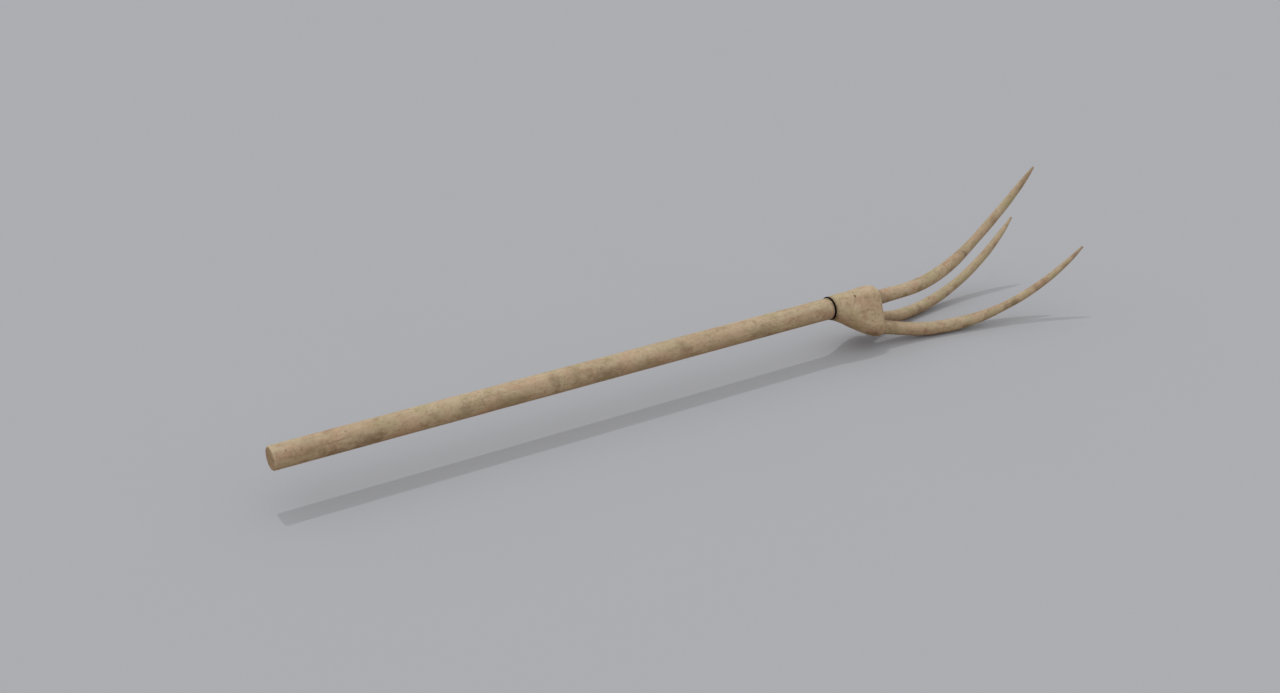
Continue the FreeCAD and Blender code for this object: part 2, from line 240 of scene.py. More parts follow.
def set_grain(piece, straight):
    """Store where each vertex was in the straight, unbent timber, in metres."""
    layer = piece.data.attributes.new("grain", "FLOAT_VECTOR", "POINT")
    layer.data.foreach_set("vector", (np.asarray(straight) * MM).astype(np.float32).ravel())


def points_of(piece):
    """Vertex positions in millimetres."""
    flat = np.zeros(len(piece.data.vertices) * 3)
    piece.data.vertices.foreach_get("co", flat)
    return flat.reshape(-1, 3) / MM


# ---------------------------------------- cutters
def rod(name, centre, axis, radius, back, front, around=64):
    """Closed round cutter along axis, from back to front of its centre."""
    axis = np.asarray(axis, float) / np.linalg.norm(axis)
    side = np.cross(axis, (0, 0, 1) if abs(axis[2]) < 0.9 else (0, 1, 0))
    side /= np.linalg.norm(side)
    other = np.cross(axis, side)
    angles = np.arange(around) * TAU / around
    circle = np.outer(np.cos(angles), side) + np.outer(np.sin(angles), other)
    return skin(name, [np.asarray(centre) + axis * s + circle * radius for s in (back, front)])


def check_cutter(name, path, outward, width, depth):
    """Closed, thin, V-shaped cutter for a drying check that runs along a path on the surface."""
    rise, end_turn = 0.6, 0.06
    path, outward = np.asarray(path, float), np.asarray(outward, float)
    along = np.gradient(path, axis=0)
    along /= np.linalg.norm(along, axis=1)[:, None]
    across = np.cross(along, outward)
    open_share = np.sin(np.linspace(end_turn, math.pi - end_turn, len(path)))[:, None]
    above = path + outward * rise
    left = above - across * width * open_share
    right = above + across * width * open_share
    root = path - outward * depth * open_share
    return skin(name, np.stack([left, right, root], axis=1))


# ---------------------------------------- handle
def round_section(x, radius, angles):
    """Ring of points round the X axis, angle 0 on top and growing towards -Y."""
    radius = np.broadcast_to(radius, angles.shape)
    return np.stack([np.full(angles.shape, x), -radius * np.sin(angles), radius * np.cos(angles)], 1)


def build_handle():
    """Turned pole, a little uneven, with a sawn butt, drying checks and its tenon in the head."""
    angles = np.arange(128) * TAU / 128
    skin_radius = HANDLE_RADIUS - SKIN_GAP
    profile = [(BUTT_GAP, r) for r in (4, 8, 11.5, 14)]
    profile += [
        (BUTT_GAP + BUTT_ROUNDING * (1 - math.cos(t)), skin_radius - BUTT_ROUNDING * (1 - math.sin(t)))
        for t in np.linspace(0, math.pi / 2, 6)
    ]
    profile += [(x, skin_radius) for x in spaced(5, SHOULDER - 3, 3.2)]
    profile += [
        (SHOULDER - 0.7, skin_radius),
        (SHOULDER - 0.2, HANDLE_RADIUS - 0.25),
        (SHOULDER, HANDLE_RADIUS - 0.8),
        (SHOULDER, HANDLE_TENON_RADIUS),
    ]
    profile += [(x, HANDLE_TENON_RADIUS) for x in spaced(SHOULDER + 4, TENON_END - 1, 6)]
    profile += [(TENON_END, HANDLE_TENON_RADIUS - 1), (TENON_END, 6)]
    rings = []
    for x, radius in profile:
        ring = round_section(x, radius, angles)
        on_pole = (x > 2) & (x < SHOULDER - 1)
        if on_pole:
            dip = 0.16 + 0.13 * wobble(ring, 90, 1) + 0.06 * wobble(ring, 22, 2)
            fade = smoothstep(2, 14, x) * smoothstep(SHOULDER - 1, SHOULDER - 12, x)
            ring = round_section(x, radius - np.clip(dip, 0, 0.6) * fade, angles)
        elif x < 1:
            ring[:, 0] += 0.12 * wobble(ring, 5, 3)
        rings.append(ring)
    piece = skin("handle_pole", rings)
    cutters = []
    for index, (x, angle, length, width, depth) in enumerate(HANDLE_CHECKS):
        path_x = np.linspace(x - length / 2, x + length / 2, 26)
        turn = np.radians(angle) + 0.03 * np.sin(path_x / 11 + index)
        outward = np.stack([0 * path_x, -np.sin(turn), np.cos(turn)], 1)
        path = outward * (HANDLE_RADIUS - 0.3)
        path[:, 0] = path_x
        cutters.append(check_cutter(f"handle_check_{index}", path, outward, width, depth))
    for index, (angle, inner, outer) in enumerate(BUTT_CHECKS):
        reach = np.linspace(inner, outer, 14)
        turn = math.radians(angle) + 0.04 * np.sin(reach * 0.9)
        path = np.stack([0 * reach + 0.4, -reach * np.sin(turn), reach * np.cos(turn)], 1)
        outward = np.tile((-1.0, 0.0, 0.0), (len(reach), 1))
        cutters.append(check_cutter(f"butt_check_{index}", path, outward, 0.3, 2.2))
    kerf = [
        (x, y, z)
        for x, half in ((TENON_END - WEDGE_LENGTH, 0.65), (TENON_END + 0.5, 2.1))
        for y in (-half, half)
        for z in (-16, 16)
    ]
    kerf_faces = [(0, 1, 3, 2), (4, 6, 7, 5), (0, 4, 5, 1), (2, 3, 7, 6), (0, 2, 6, 4), (1, 5, 7, 3)]
    cutters.append(mesh_object("kerf_cutter", kerf, kerf_faces))
    cutters.append(handle_peg_hole())
    subtract(piece, cutters)
    shade(piece)
    points = points_of(piece)
    butt = smoothstep(1.9, 0.5, points[:, 0])
    # The butt's rounded rim is painted lighter: partly edge wear, partly a painted highlight where the rim
    # catches the light.
    rim_wear_and_highlight = smoothstep(7, 2.2, points[:, 0]) * (1 - butt)
    # Darker over the last few millimetres before the ring.
    grime = smoothstep(SHOULDER - 7, SHOULDER - 0.5, points[:, 0])
    return finish_wood(piece, points, "handle_wood", end=butt, wear=rim_wear_and_highlight, grime=grime,
                       marks=HANDLE_MARKS)


# ---------------------------------------- head
def head_outline(forward, angles, shrink=0):
    """Distance from the section's middle to the head's skin, in each direction round it."""
    values = [
        curve_through(HEAD_SECTIONS[:, 0], HEAD_SECTIONS[:, column], forward)
        for column in range(2, 7)
    ]
    top_height, top_radius, low_offset, low_height, low_radius = values
    middle = head_middle(forward)
    normals = np.arange(900) * TAU / 900
    reach_top = top_height * np.cos(normals) + top_radius
    reach_low = np.abs(np.sin(normals)) * low_offset + low_height * np.cos(normals) + low_radius
    support = np.maximum(reach_top, reach_low) - shrink - middle * np.cos(normals)
    facing = np.cos(normals[None, :] - angles[:, None])
    distance = np.where(facing > 0.02, support[None, :] / np.maximum(facing, 0.02), 1e6)
    return distance.min(axis=1)


def head_middle(forward):
    """Height of the line that the head's sections are drawn round."""
    return curve_through((0, 40, HEAD_LENGTH), (0, -9, -27), forward)


# Knife facets of the palm: normal (forward, towards -Y, up) and distance from the mouth's middle.
PALM_FACETS = (
    ((0.06, 0.46, 0.885), 27.7),
    ((0.02, 0.91, 0.41), 23.6),
    ((-0.05, 0.985, -0.06), 37.8),
    ((-0.30, 0.62, -0.72), 37.3),
    ((-0.33, 0.0, -0.94), 32.6),
    ((0.10, 0.0, 0.995), 31.2),
)


def build_head():
    """Carved block: round collar, crease, faceted palm, and a bore or socket for every tenon."""
    angles = np.arange(224) * TAU / 224
    bore_radius = HANDLE_TENON_RADIUS + SOCKET_CLEARANCE
    bore_depth = TENON_END - HEAD_START + 1
    rings = [round_section(bore_depth, 6, angles)]
    rings += [round_section(x, bore_radius, angles) for x in spaced(bore_depth, 0.6, 8)]
    rings.append(round_section(0, bore_radius + 0.6, angles))
    rings.append(round_section(0, 16.5, angles))

    def section(forward, share=1.0, shrink=0.0, push=0.0):
        middle = head_middle(forward)
        radius = head_outline(forward, angles, shrink) * share
        down = -radius * np.sin(angles)
        up = middle + radius * np.cos(angles)
        return np.stack([np.full(angles.shape, forward + push), down, up], 1)

    mouth_rim = [section(0, shrink=1.0), section(0, shrink=0.45, push=0.25)]
    stations = np.concatenate([spaced(1, 96, 1.25), spaced(96.6, HEAD_LENGTH, 0.6)])
    outer = [section(x) for x in stations]
    outer.append(section(HEAD_LENGTH, shrink=0.9, push=0.35))
    outer += [
        section(HEAD_LENGTH, share=share, push=0.5) for share in (0.9, 0.8, 0.65, 0.5, 0.35, 0.2, 0.1)
    ]
    skin_start = len(rings) + len(mouth_rim)
    rings = np.array(rings + mouth_rim + outer)
    carve(rings[skin_start:], angles)
    lean_forward(rings[skin_start - len(mouth_rim):])
    rings[:, :, 0] += HEAD_START
    piece = skin("fork_head", rings)
    cutters = [handle_peg_hole()]
    for tine in TINES.values():
        cutters += tine.socket_cutters()
    cutters += [head_check(index, *check) for index, check in enumerate(HEAD_CHECKS)]
    subtract(piece, cutters)
    shade(piece)
    points = points_of(piece)
    forward = points[:, 0] - HEAD_START
    front_plane = HEAD_LENGTH + points[:, 2] * math.tan(math.radians(HEAD_SECTIONS[-1, 1]))
    front = smoothstep(front_plane - 1.2, front_plane + 0.2, forward)
    mouth = smoothstep(0.5, 0.1, forward)
    wear = smoothstep(front_plane - 16, front_plane - 5, forward) * (1 - front)
    around = np.degrees(np.arctan2(np.abs(points[:, 1]), points[:, 2] - head_middle(forward)))
    # Painted shade: a dark line along the crease behind the palm, strongest on its upper part.
    crease_shade = np.exp(-((forward - crease_place(around) + 0.6) / 1.5) ** 2)
    crease_shade *= smoothstep(85, 40, around)
    # Darker over the first few millimetres from the mouth and round the rim of each tine's socket.
    grime = np.maximum(smoothstep(7, 0.6, forward), 0.8 * tine_joint_grime(points))
    grime = np.maximum(grime, 0.5 * crease_shade)
    return finish_wood(piece, points + (0, 60, 40), "head_wood", end=np.maximum(front, mouth),
                       wear=0.2 * wear, grime=grime, marks=HEAD_MARKS,
                       mark_points=points - (HEAD_START, 0, 0))


def crease_place(turn):
    """Distance of the crease from the mouth, for an angle in degrees down from the top of the head."""
    return 48 - 23 * smoothstep(12, 118, turn)


def lean_forward(outer):
    """Tip the sections near the front about the handle's axis, so that the front face leans."""
    lean = np.radians(curve_through(HEAD_SECTIONS[:, 0], HEAD_SECTIONS[:, 1], outer[:, :, 0]))
    outer[:, :, 0] += outer[:, :, 2] * np.sin(lean)
    outer[:, :, 2] *= np.cos(lean)


def carve(outer, angles):
    """Pare the skin down to its facets, cut the crease behind the palm and leave knife marks."""
    forward = outer[:, :, 0]
    middle = head_middle(np.clip(forward, 0, HEAD_LENGTH))
    rise = outer[:, :, 2] - middle
    radius = np.hypot(outer[:, :, 1], rise)
    directions = np.stack([-np.sin(angles), np.cos(angles)], 1)
    pared = radius.copy()
    for (along, near, up), distance in PALM_FACETS:
        for mirror in (1, -1) if near else (1,):
            facing = -near * mirror * directions[:, 0] + up * directions[:, 1]
            room = distance - along * forward - up * middle
            plane = np.where(facing > 0.05, room / np.maximum(facing, 0.05), 1e3)
            pared = smooth_min(pared, plane, 1.1)
    palm = smoothstep(24, 58, forward)
    pared = radius + (pared - radius) * palm
    turn = np.degrees(np.minimum(angles, TAU - angles))
    behind = crease_place(turn)[None, :] - forward
    groove = np.exp(-(behind / 2.6) ** 2) * 0.9 - np.exp(-((behind + 6) / 5) ** 2) * 0.55
    pared -= groove * smoothstep(104, 90, forward)
    marks = 0.16 * wobble(outer, 13, 5) + 0.10 * wobble(outer, 6, 6)
    pared += np.clip(marks, -0.3, 0.12) * smoothstep(2, 12, forward)
    pared = np.minimum(pared, radius + 0.3)
    share = np.where(radius > 1e-6, pared / np.maximum(radius, 1e-6), 1)
    front = forward > HEAD_LENGTH + 0.2
    share = np.where(front, np.minimum(share, 1), share)
    outer[:, :, 1] *= share
    outer[:, :, 2] = middle + rise * share


def head_check(index, forward, angle, length, width, depth):
    """Cutter for a check that runs along the head's skin."""
    xs = np.linspace(forward - length / 2, forward + length / 2, 16)
    turn = np.full(len(xs), math.radians(angle)) + 0.02 * np.sin(xs / 5)
    path, outward = [], []
    for x, a in zip(xs, turn):
        r = head_outline(x, np.array([a]))[0] - 0.7
        path.append((x + HEAD_START, -r * math.sin(a), head_middle(x) + r * math.cos(a)))
        outward.append((0, -math.sin(a), math.cos(a)))
    return check_cutter(f"head_check_{index}", path, outward, width, depth)


# ---------------------------------------- tines
class Tine:
    """One bent tine: where its root is seated, how it bends and how thick it is along its length.

    It leaves its seat straight for a run, bends on a firm arc and then on a gentle one, each given
    by its radius and its angle in degrees. Pitch and splay are the seat's directions up and left.
    The diameters are at the root, the firm bend, the slim part after it and the fore part.
    """

    POINT_RADIUS = 1.9

    def __init__(self, name, seat, pitch, splay, run, firm, gentle, diameters, node):
        self.name, self.node = name, node
        self.seat = np.array((HEAD_START + seat[0], seat[1], seat[2]))
        p, s = math.radians(pitch), math.radians(splay)
        self.ahead = np.array((math.cos(p) * math.cos(s), math.cos(p) * math.sin(s), math.sin(p)))
        self.left = np.array((-math.sin(s), math.cos(s), 0.0))
        self.up = np.cross(self.ahead, self.left)
        self.run = run
        self.firm_radius, self.firm_angle = firm[0], math.radians(firm[1])
        self.gentle_radius, self.gentle_angle = gentle[0], math.radians(gentle[1])
        self.firm_end = run + self.firm_radius * self.firm_angle
        self.length = self.firm_end + self.gentle_radius * self.gentle_angle
        root, bend, slim, fore = (d / 2 for d in diameters)
        bent = self.length - run
        # Share of the bent length, and the radius there.
        shares = (
            (0, bend), (0.1, bend), (0.21, 0.98 * bend), (0.35, 0.55 * bend + 0.45 * slim),
            (0.49, slim), (0.65, 0.65 * slim + 0.35 * fore), (0.8, fore), (0.92, 0.7 * fore),
            (1, self.POINT_RADIUS),
        )
        self.stations = [0] + [run + share * bent for share, _ in shares]
        self.radii = [root] + [radius for _, radius in shares]
        self.root_radius = root

    def spine(self, s):
        """Point and turn of the spine, in the tine's own bend plane, at a length along it."""
        firm = np.clip((s - self.run) / self.firm_radius, 0, self.firm_angle)
        gentle = np.clip((s - self.firm_end) / self.gentle_radius, 0, None)
        turn = firm + gentle
        ahead = (
            np.minimum(s, self.run)
            + self.firm_radius * np.sin(firm)
            + self.gentle_radius * (np.sin(turn) - np.sin(firm))
        )
        rise = (
            self.firm_radius * (1 - np.cos(firm))
            + self.gentle_radius * (np.cos(firm) - np.cos(turn))
        )
        return ahead, rise, turn

    def place(self, s, sideways, upwards):
        """From straight timber (length along, left, up) to the bent tine in the fork's frame."""
        ahead, rise, turn = self.spine(s)
        x = ahead - upwards * np.sin(turn)
        z = rise + upwards * np.cos(turn)
        straight, turned = np.outer(x, self.ahead), np.outer(z, self.up)
        return self.seat + straight + np.outer(sideways, self.left) + turned

    def straighten(self, points):
        """From the fork's frame back to straight timber: length along, left, up."""
        away = points - self.seat
        x, y, z = away @ self.ahead, away @ self.left, away @ self.up
        firm = np.arctan2(x - self.run, self.firm_radius - z)
        s = np.where(x < self.run, x, self.run + self.firm_radius * firm)
        off_arc = self.firm_radius - np.hypot(x - self.run, self.firm_radius - z)
        rise = np.where(x < self.run, z, off_arc)
        centre_x = self.run + (self.firm_radius - self.gentle_radius) * math.sin(self.firm_angle)
        centre_z = self.firm_radius - (self.firm_radius - self.gentle_radius) * math.cos(self.firm_angle)
        turn = np.arctan2(x - centre_x, centre_z - z)
        beyond = firm > self.firm_angle
        s = np.where(beyond, self.firm_end + self.gentle_radius * (turn - self.firm_angle), s)
        rise = np.where(beyond, self.gentle_radius - np.hypot(x - centre_x, centre_z - z), rise)
        return np.stack([s, y, rise], 1)

    def socket_cutters(self):
        """Recess for the root and bore for the tenon, in the head."""
        bore = rod(f"{self.name}_bore", self.seat, self.ahead, TINE_TENON_RADIUS + SOCKET_CLEARANCE,
                   -TINE_TENON_LENGTH - 1, 4)
        recess = rod(f"{self.name}_recess", self.seat, self.ahead, self.root_radius + 0.35, -0.2, 60, 96)
        return [bore, recess]

    def profile(self):
        """Length along and radius, from the tenon's end to the rounded point."""
        start = -TINE_TENON_LENGTH
        steps = [(start, 4), (start, TINE_TENON_RADIUS - 1)]
        steps += [(s, TINE_TENON_RADIUS) for s in spaced(start + 1, 0, 6)]
        steps += [(0, self.root_radius - 0.7), (0.5, self.root_radius - 0.1)]
        tip_start = self.length - TIP_LENGTH
        body = spaced(2, tip_start, 2.4)
        steps += list(zip(body, curve_through(self.stations, self.radii, body) - SKIN_GAP))
        tip = curve_through(self.stations, self.radii, tip_start) - SKIN_GAP
        crown = TIP_LENGTH - 0.1
        steps += [(tip_start + crown * math.sin(t), tip * math.cos(t)) for t in (0.45, 0.9, 1.3)]
        return steps

    def uneven(self, s, angles, radius, seed):
        """Radius round one section: shaved flats, deeper towards the point, and a slow waver."""
        shaved = smoothstep(6, 40, s)
        towards_tip = smoothstep(self.length * 0.45, self.length * 0.95, s)
        flats = 9
        phase = 0.5 * math.sin(s / 47 + seed) + seed
        flat_turn = np.mod(angles + phase, TAU / flats) - math.pi / flats
        polygon = math.cos(math.pi / flats) / np.cos(flat_turn)
        depth = 0.16 + 0.34 * towards_tip
        place = np.stack([np.full(angles.shape, s), radius * np.cos(angles), radius * np.sin(angles)], 1)
        waver = 0.012 * wobble(place, 46, seed) + 0.006 * wobble(place, 17, seed + 1)
        waver = np.clip(waver, -0.03, 0.01)
        return radius * (1 + shaved * ((polygon - 1) * depth + waver))

    def build(self, seed, marks):
        """The finished tine, with the hole for the peg through its tenon."""
        angles = np.arange(64) * TAU / 64
        rings = []
        for s, radius in self.profile():
            r = self.uneven(s, angles, radius, seed) if s > 1 else np.full(angles.shape, radius)
            rings.append(self.place(np.full(angles.shape, s), r * np.cos(angles), r * np.sin(angles)))
        piece = skin(self.name, rings)
        subtract(piece, [self.peg_hole()])
        shade(piece)
        points = points_of(piece)
        straight = self.straighten(points)
        tip = smoothstep(self.length - 10, self.length - 1, straight[:, 0])
        # Darker near the root, where the tine goes into the head; the point is darker too.
        grime = smoothstep(9, 1, straight[:, 0] - 7)
        wear = smoothstep(self.length * 0.8, self.length * 0.97, straight[:, 0])
        return finish_wood(piece, straight + (seed * 500, seed * 70, seed * 40), "tine_wood",
                           end=np.zeros(len(points)), wear=0.5 * wear,
                           grime=np.maximum(grime, 0.9 * tip), marks=marks, mark_points=straight)

    def peg_axis(self):
        """Middle and outward direction of the peg through this tine's tenon."""
        centre = self.seat - self.ahead * TINE_TENON_LENGTH / 2
        outward = np.array((0, 1, 0)) if self.name == "top_tine" else np.array((0, 0, -1))
        return centre, outward

    def peg_hole(self):
        """Cutter for that peg's hole."""
        centre, outward = self.peg_axis()
        return rod(f"{self.name}_peg_hole", centre, outward, PEG_HOLE_RADIUS, -PEG_INNER_REACH - 1, 40, 32)


def tine_joint_grime(points):
    """How close each of the head's vertices is to the rim of a tine's socket."""
    near = np.zeros(len(points))
    for tine in TINES.values():
        away = points - tine.seat
        ahead = away @ tine.ahead
        off_axis = np.linalg.norm(away - np.outer(ahead, tine.ahead), axis=1)
        close = smoothstep(5, 0.8, np.abs(off_axis - tine.root_radius - 0.4))
        near = np.maximum(near, close * (ahead > -1))
    return near


# ---------------------------------------- pegs and ring
def handle_peg_axis():
    """Middle and outward direction of the peg through the handle's tenon."""
    centre = np.array((HEAD_START + HANDLE_PEG_FORWARD, 0, 0))
    return centre, np.array((0, -math.sin(HANDLE_PEG_TURN), math.cos(HANDLE_PEG_TURN)))


def handle_peg_hole():
    """Cutter for that peg's hole."""
    centre, outward = handle_peg_axis()
    return rod("handle_peg_hole", centre, outward, PEG_HOLE_RADIUS, -PEG_INNER_REACH - 0.5, 40, 32)


def build_peg(name, node, centre, outward, outer, seed):
    """Whittled peg: eight soft flats, a tapered inner end and a crowned, slightly mushroomed head."""
    flats = 8
    angles = np.arange(48) * TAU / 48
    outward = outward / np.linalg.norm(outward)
    side = np.cross(outward, (1, 0, 0))
    side /= np.linalg.norm(side)
    other = np.cross(outward, side)
    inner = -PEG_INNER_REACH
    profile = [(inner, 1.0), (inner, 1.8), (inner + 1.5, PEG_RADIUS - 0.15)]
    profile += [(s, PEG_RADIUS - 0.02) for s in spaced(inner + 3, outer - 1.2, 1.5)]
    profile += [(outer - 0.7, PEG_RADIUS), (outer - 0.35, 2.3), (outer - 0.1, 1.8), (outer, 1.0)]
    rings = []
    for s, radius in profile:
        flat = np.mod(angles + seed, TAU / flats) - math.pi / flats
        r = radius * (1 + 0.5 * (math.cos(math.pi / flats) / np.cos(flat) - 1))
        round_axis = np.outer(r * np.cos(angles), side) + np.outer(r * np.sin(angles), other)
        rings.append(centre + outward * s + round_axis)
    piece = skin(name, rings)
    shade(piece)
    points = points_of(piece)
    along = (points - centre) @ outward
    straight = np.stack([along, (points - centre) @ side, (points - centre) @ other], 1)
    end = smoothstep(outer - 0.8, outer - 0.3, along)
    finish_wood(piece, straight + (seed * 90, 0, 0), "peg_wood", end=end,
                wear=np.zeros(len(points)), grime=np.full(len(points), 0.5), marks=())
    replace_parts(piece, node)


def build_wedge():
    """Split fox wedge in the kerf of the handle's tenon, thin end towards the butt."""
    half_height = 10.9
    rings = []
    for share in np.linspace(0, 1, 18):
        half = 0.55 + 1.35 * share
        across = spaced(-half, half, 0.7)
        upwards = spaced(-half_height, half_height, 1.8)
        loop = [(y, -half_height) for y in across] + [(half, z) for z in upwards[1:-1]]
        loop += [(y, half_height) for y in across[::-1]] + [(-half, z) for z in upwards[-2:0:-1]]
        loop = np.array(loop)
        if rings and len(loop) != len(rings[0]):
            loop = loop[np.linspace(0, len(loop) - 1, len(rings[0])).round().astype(int)]
        x = TENON_END - WEDGE_LENGTH * (1 - share)
        rings.append(np.column_stack([np.full(len(loop), x), loop]))
    piece = skin("tenon_wedge", rings)
    subtract(piece, [handle_peg_hole()])
    shade(piece)
    points = points_of(piece)
    none = np.zeros(len(points))
    finish_wood(piece, points + (40, 90, 0), "peg_wood", end=none, wear=none, grime=none, marks=())
    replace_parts(piece, "handle_wedge")


def build_ring():
    """Forged ring between the handle's shoulder and the head, its rim softened and not quite true."""
    angles = np.arange(160) * TAU / 160
    inner = HANDLE_TENON_RADIUS + SOCKET_CLEARANCE
    back, front, outer = SHOULDER, HEAD_START, RING_RADIUS
    loop = [
        (back, inner + 0.3), (back, outer - 3), (back, outer - 0.75), (back + 0.16, outer - 0.3),
        (back + 0.5, outer - 0.06), ((back + front) / 2, outer), (front - 0.5, outer - 0.06),
        (front - 0.16, outer - 0.3), (front, outer - 0.75), (front, outer - 3), (front, inner + 0.3),
        (front - 0.3, inner), (back + 0.3, inner),
    ]
    rings = []
    for x, radius in loop:
        ring = round_section(x, radius, angles)
        if radius > outer - 1:
            hammered = np.clip(0.10 * wobble(ring, 9, 21), -0.14, 0) - 0.01
            ring = round_section(x, radius + hammered, angles)
        rings.append(ring)
    piece = skin("neck_ring", rings, wrap=True)
    shade(piece)
    piece.data.materials.append(ring_material())
    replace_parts(piece, "socket_ring")
    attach(piece, "root")


# ---------------------------------------- marks on the wood
# Stains and patches: place in straight timber (mm), size along and across (mm), depth of colour.
# A positive depth is a stain and a negative one a pale patch; the last word is the hue it leans to.
HANDLE_MARKS = (
    ((60, -13, 8), (34, 15), 0.14, "olive"),
    ((96, -14, -6), (22, 10), 0.36, "brown"),
    ((114, -9, 16), (2.6, 2), 0.5, "brown"),
    ((128, -8, 16), (30, 10), -0.25, "pink"),
    ((147, -17, -4), (26, 13), 0.48, "brown"),
    ((182, -13, 10), (18, 16), -0.2, "olive"),
    ((206, -14, 6), (26, 14), -0.14, "pink"),
    ((280, -12, 13), (30, 12), -0.25, "olive"),
    ((305, -14, 2), (12, 18), 0.34, "brown"),
    ((378, -18, -5), (44, 10), 0.2, "olive"),
    ((430, -9, 16), (34, 11), -0.28, "pink"),
    ((460, -14, 6), (10, 18), 0.32, "brown"),
    ((497, -14, 8), (8, 20), 0.2, "olive"),
    ((554, -17, -2), (36, 13), 0.34, "brown"),
    ((598, -11, 14), (36, 11), -0.28, "pink"),
    ((640, -18, -4), (26, 10), 0.2, "brown"),
    ((668, -9, 16), (32, 12), -0.22, "olive"),
    ((695, -14, 8), (8, 18), 0.16, "olive"),
    ((706, -16, 2), (12, 15), 0.26, "brown"),
    ((800, -12, 13), (38, 12), -0.25, "pink"),
    ((860, -18, -4), (26, 13), 0.28, "brown"),
    ((925, -9, 15), (14, 10), 0.15, "brown"),
    ((942, -14, 4), (22, 12), -0.18, "pink"),
    ((992, -15, 3), (18, 13), 0.2, "pink"),
)
# Forward from the mouth, then left and up, on the carved skin.
HEAD_MARKS = (
    ((12, -15, -12), (13, 9), 0.22, "olive"),
    ((75, -7, 22), (13, 5), -0.5, "brown"),
    ((64.5, -27, -7), (2.2, 2.2), 0.6, "brown"),
    ((52.6, -26, -20), (1.8, 1.8), 0.5, "brown"),
    ((58, -20, 4), (9, 4), -0.35, "pink"),
    ((99.5, -28, -18), (3.2, 7), 0.5, "pink"),
    ((80, -33, -50), (22, 13), 0.42, "brown"),
    ((70, -37, -38), (20, 10), -0.16, "pink"),
    ((30, -21, -4), (20, 8), -0.18, "olive"),
)
# Length along the straightened tine, then left and up from its middle.
TINE_MARKS = {
    "top_tine": (
        ((16, -10, 2), (15, 13), 0.3, "brown"),
        ((58, -6, 10), (11, 6), -0.35, "pink"),
        ((66, -10, -6), (16, 7), 0.3, "brown"),
        ((100, -11, -2), (7, 7), 0.35, "olive"),
        ((140, -9, 7), (14, 9), -0.35, "olive"),
        ((178, -10, -4), (10, 6), 0.3, "brown"),
        ((216, -8, 4), (4, 12), 0.5, "brown"),
        ((244, -8, 0), (16, 7), -0.55, "olive"),
        ((276, -7, 3), (7, 6), -0.5, "pink"),
        ((300, -7, 2), (9, 7), 0.25, "pink"),
        ((345, -6, 2), (18, 8), -0.7, "olive"),
        ((376, -6, 1), (7, 6), 0.3, "brown"),
        ((404, -4, 2), (20, 8), 0.55, "pink"),
    ),
    "left_tine": (
        ((60, -8, 4), (10, 8), 0.2, "brown"),
        ((124, -7, 8), (8, 6), -0.7, "olive"),
        ((152, -9, 2), (8, 8), 0.4, "brown"),
        ((176, -8, 7), (9, 6), -0.6, "olive"),
        ((214, -8, 4), (10, 6), -0.6, "olive"),
        ((236, -8, 0), (8, 7), 0.35, "brown"),
        ((262, -7, 4), (9, 6), 0.25, "pink"),
        ((300, -6, 4), (18, 7), -0.5, "olive"),
        ((352, -6, 2), (20, 7), -0.6, "olive"),
        ((392, -5, 1), (10, 6), 0.3, "brown"),
        ((420, -4, 2), (18, 6), -0.6, "olive"),
        ((440, -2, 1), (4, 5), 0.5, "brown"),
    ),
    "right_tine": (
        ((28, -10, 5), (16, 9), 0.22, "pink"),
        ((70, -9, 9), (14, 7), -0.45, "pink"),
        ((98, -12, 0), (3, 8), 0.45, "pink"),
        ((132, -9, -6), (10, 7), 0.35, "olive"),
        ((154, -9, 8), (10, 6), -0.45, "olive"),
        ((185, -11, -4), (12, 7), 0.3, "brown"),
        ((212, -9, 6), (12, 7), -0.3, "pink"),
        ((246, -8, 5), (14, 7), -0.55, "olive"),
        ((274, -7, 2), (6, 6), 0.35, "brown"),
        ((292, -7, 0), (8, 6), 0.45, "olive"),
        ((318, -6, 4), (9, 6), -0.5, "olive"),
        ((344, -6, 4), (8, 8), 0.22, "pink"),
        ((361, -5, 4), (8, 8), 0.25, "pink"),
        ((384, -5, 3), (10, 6), -0.6, "olive"),
        ((412, -4, 2), (8, 5), 0.3, "brown"),
        ((440, -2, 1), (14, 6), 0.55, "pink"),
    ),
}


def mark_depths(points, marks):
    """Sum of soft, ragged patches at each point, split into stain, paleness and two hues."""
    layers = {key: np.zeros(len(points)) for key in ("stain", "pale", "olive", "pink")}
    if not marks:
        return layers
    ragged = 0.35 * wobble(points, 9, 31) + 0.2 * wobble(points, 3.5, 32)
    for centre, (along, across), depth, hue in marks:
        away = points - np.array(centre, float)
        distance = np.sqrt((away[:, 0] / along) ** 2 + (away[:, 1:] ** 2).sum(1) / across ** 2)
        cover = smoothstep(1.25, 0.35, distance + ragged)
        layers["stain" if depth > 0 else "pale"] += abs(depth) * cover
        if hue != "brown":
            layers[hue] += abs(depth) * cover
    return layers


# ---------------------------------------- materials
def srgb(red, green, blue):
    """Linear colour from 0-255 display values."""
    return tuple(
        c / 255 / 12.92 if c <= 10 else ((c / 255 + 0.055) / 1.055) ** 2.4 for c in (red, green, blue)
    ) + (1.0,)


